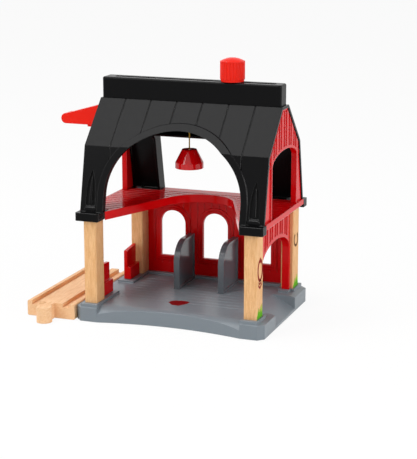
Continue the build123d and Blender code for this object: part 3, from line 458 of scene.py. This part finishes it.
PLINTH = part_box("base_plate")[1].z / MM       # where the posts come out of the base
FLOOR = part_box("rail_track")[1].z / MM        # level with the top of the track


def rope_loop(bm):
    """A long loop of rope hung up by its pointed top and tied below, its end under the knot."""
    put = on_post_side("post_front_right")
    loop = oval((0.4, 50.2), (5.0, 7.6))
    top = [(-2.6, 56.6), (0.4, 55.6), (3.4, 56.6), (1.6, 59.2), (0.4, 60.0), (-0.8, 59.2)]
    knot = oval((0.4, 41.2), (2.8, 1.2), steps=14)
    end = [(-1.6, 40.2), (-3.0, 39.0), (0.4, 36.6), (3.8, 39.0), (2.4, 40.2)]
    ribbon(bm, loop, 2.3, put, closed=True)
    plate(bm, top, put, INK_T * 1.5)
    ribbon(bm, knot, 1.3, put, closed=True)
    ribbon(bm, end, 1.9, put)


def horseshoe(bm):
    """A horseshoe with its opening up."""
    bow = oval((-0.2, 52.6), (4.8, 5.0), start=124, end=416, steps=26)
    ribbon(bm, bow, 2.0, on_post_side("post_rear_right"))


def tuft(node, heights, lift, seed):
    """Blades of grass out of the base, spread evenly over the side of a post.

    Heights are in mm. A blade is lift layers of ink thick, and each a little thicker than the
    last, so that no two tops lie in one plane.
    """
    put = on_post_side(node)
    draw = random.Random(seed)
    low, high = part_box(node)
    margin = 0.9
    half = (high.y - low.y) / 2 / MM - margin
    reach = half - margin

    def build(bm):
        for k, tall in enumerate(heights):
            foot = -reach + 2 * reach * k / (len(heights) - 1)
            lean = draw.uniform(-0.8, 0.8)
            tall += draw.uniform(-0.6, 0.6)
            blade = [(-1.1, CLEAR), (1.1, CLEAR), (0.7, tall * 0.55), (lean, tall),
                     (-0.6, tall * 0.5)]
            outline = [(min(max(foot + u, -half), half), PLINTH + v) for u, v in blade]
            plate(bm, outline, put, INK_T * (lift + 0.1 * k))

    return build


def spilt_feed(bm):
    """A printed handful of feed on the floor: a turned oval, uneven at its rim."""
    middle, half, turn, steps = (-3.2, -24.6), (7.6, 6.4), math.radians(24), 36
    waves = ((0.10, 3, 0.8), (0.04, 7, 0), (0.03, 11, 1))   # height, number round the rim, start
    outline = []
    for k in range(steps):
        a = 2 * math.pi * k / steps
        r = 1.0 + sum(tall * math.sin(often * a + start) for tall, often, start in waves)
        u, v = half[0] * r * math.cos(a), half[1] * r * math.sin(a)
        outline.append((middle[0] + u * math.cos(turn) - v * math.sin(turn),
                        middle[1] + u * math.sin(turn) + v * math.cos(turn)))

    def put(u, v, w):
        return Vector((u * MM, v * MM, (FLOOR + w) * MM))

    plate(bm, outline, put)


rope_ink = pad_printed_ink("printed_rope_ink", ROPE_INK)
shoe_ink = pad_printed_ink("printed_horseshoe_ink", SHOE_INK)
grass_ink = pad_printed_ink("printed_grass_ink", GRASS_INK)
young_grass_ink = pad_printed_ink("printed_young_grass_ink", YOUNG_GRASS_INK)
feed_ink = pad_printed_ink("printed_feed_ink", FEED_INK)

young_grass_front = tuft("post_front_right", [4, 7, 9, 8, 7, 9, 10, 10, 9], lift=1.0, seed=3)
grass_front = tuft("post_front_right", [3, 6, 8, 7, 5, 7, 6, 5, 4], lift=2.2, seed=7)
young_grass_rear = tuft("post_rear_right", [3, 5, 7, 8, 8, 9, 10, 10, 9], lift=1.0, seed=5)
grass_rear = tuft("post_rear_right", [2, 3, 5, 5, 4, 6, 7, 6, 5], lift=2.2, seed=9)

for name, build, ink, slot in (
    ("rope_loop_print", rope_loop, rope_ink, "beech"),
    ("horseshoe_print", horseshoe, shoe_ink, "beech"),
    ("young_grass_front_print", young_grass_front, young_grass_ink, "beech"),
    ("grass_front_print", grass_front, grass_ink, "beech"),
    ("young_grass_rear_print", young_grass_rear, young_grass_ink, "beech"),
    ("grass_rear_print", grass_rear, grass_ink, "beech"),
    ("spilt_feed_print", spilt_feed, feed_ink, "grey_plastic"),
):
    printed = mesh_object(name, build, ink)
    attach(printed, "barn")


# ------------------------------------------------------------------ table and room
def shown_white(tree):
    """1 for the rays that show the background, straight or in a reflection, 0 for the rest."""
    ray = add(tree, "LightPath").outputs
    seen = ray["Is Camera Ray"]
    for kind in ("Is Glossy Ray", "Is Transmission Ray"):
        seen = add(tree, "Math", {0: seen, 1: ray[kind]}, operation="MAXIMUM").outputs[0]
    return seen


def white_table():
    """A matt white table top that shows plain white and still takes the barn's shadow."""
    mat, tree, surface = blank("matt_white_table")
    surface.inputs["Base Color"].default_value = linear(TABLE)
    surface.inputs["Roughness"].default_value = 0.9
    surface.inputs["Specular IOR Level"].default_value = 0.0
    white = add(tree, "Emission", {"Color": WHITE, "Strength": 1.0})
    share = add(tree, "Math", {0: shown_white(tree), 1: WHITENESS}, operation="MULTIPLY")
    both = add(tree, "MixShader", {"Fac": share.outputs[0], 1: surface.outputs[0],
                                   2: white.outputs[0]})
    tree.links.new(both.outputs[0], tree.nodes["Material Output"].inputs["Surface"])
    return mat


def table_top(bm):
    """A square so large that its rim is never seen."""
    corners = ((-1, -1), (1, -1), (1, 1), (-1, 1))
    bm.faces.new([bm.verts.new((x * TABLE_HALF, y * TABLE_HALF, -TABLE_DROP))
                  for x, y in corners])


def white_room():
    """A room that lightens the shadows from all sides and shows plain white behind the barn."""
    world = bpy.data.worlds.new("studio")
    world.use_nodes = True
    tree = world.node_tree
    fill = tree.nodes["Background"]
    fill.inputs["Color"].default_value = WHITE
    fill.inputs["Strength"].default_value = FILL
    backdrop = add(tree, "Background", {"Color": WHITE, "Strength": 1.0})
    both = add(tree, "MixShader", {"Fac": shown_white(tree), 1: fill.outputs[0],
                                   2: backdrop.outputs[0]})
    tree.links.new(both.outputs[0], tree.nodes["World Output"].inputs["Surface"])
    return world


mesh_object("table", table_top, white_table())
bpy.context.scene.world = white_room()

# ------------------------------------------------------------------ soft lamps
for name, lamp in LAMPS.items():
    data = bpy.data.lights.new(name, "AREA")
    data.shape = "RECTANGLE"
    data.size, data.size_y = lamp["size"]
    data.energy = lamp["watts"]
    softbox = bpy.data.objects.new(name, data)
    softbox.location = lamp["spot"]
    softbox.rotation_euler = (BARN_MIDDLE - softbox.location).to_track_quat("-Z", "Y").to_euler()
    bpy.context.collection.objects.link(softbox)

# ------------------------------------------------------------------ camera
eye = bpy.data.objects.new("camera", bpy.data.cameras.new("camera"))
eye.location = EYE
eye.rotation_mode = "XYZ"
eye.rotation_euler = [math.radians(a) for a in (90 - ELEVATION, ROLL, AZIMUTH)]
eye.data.lens = LENS
eye.data.sensor_width = SENSOR
eye.data.clip_end = FAR
bpy.context.collection.objects.link(eye)
bpy.context.scene.camera = eye
bpy.context.scene.view_settings.view_transform = "Standard"
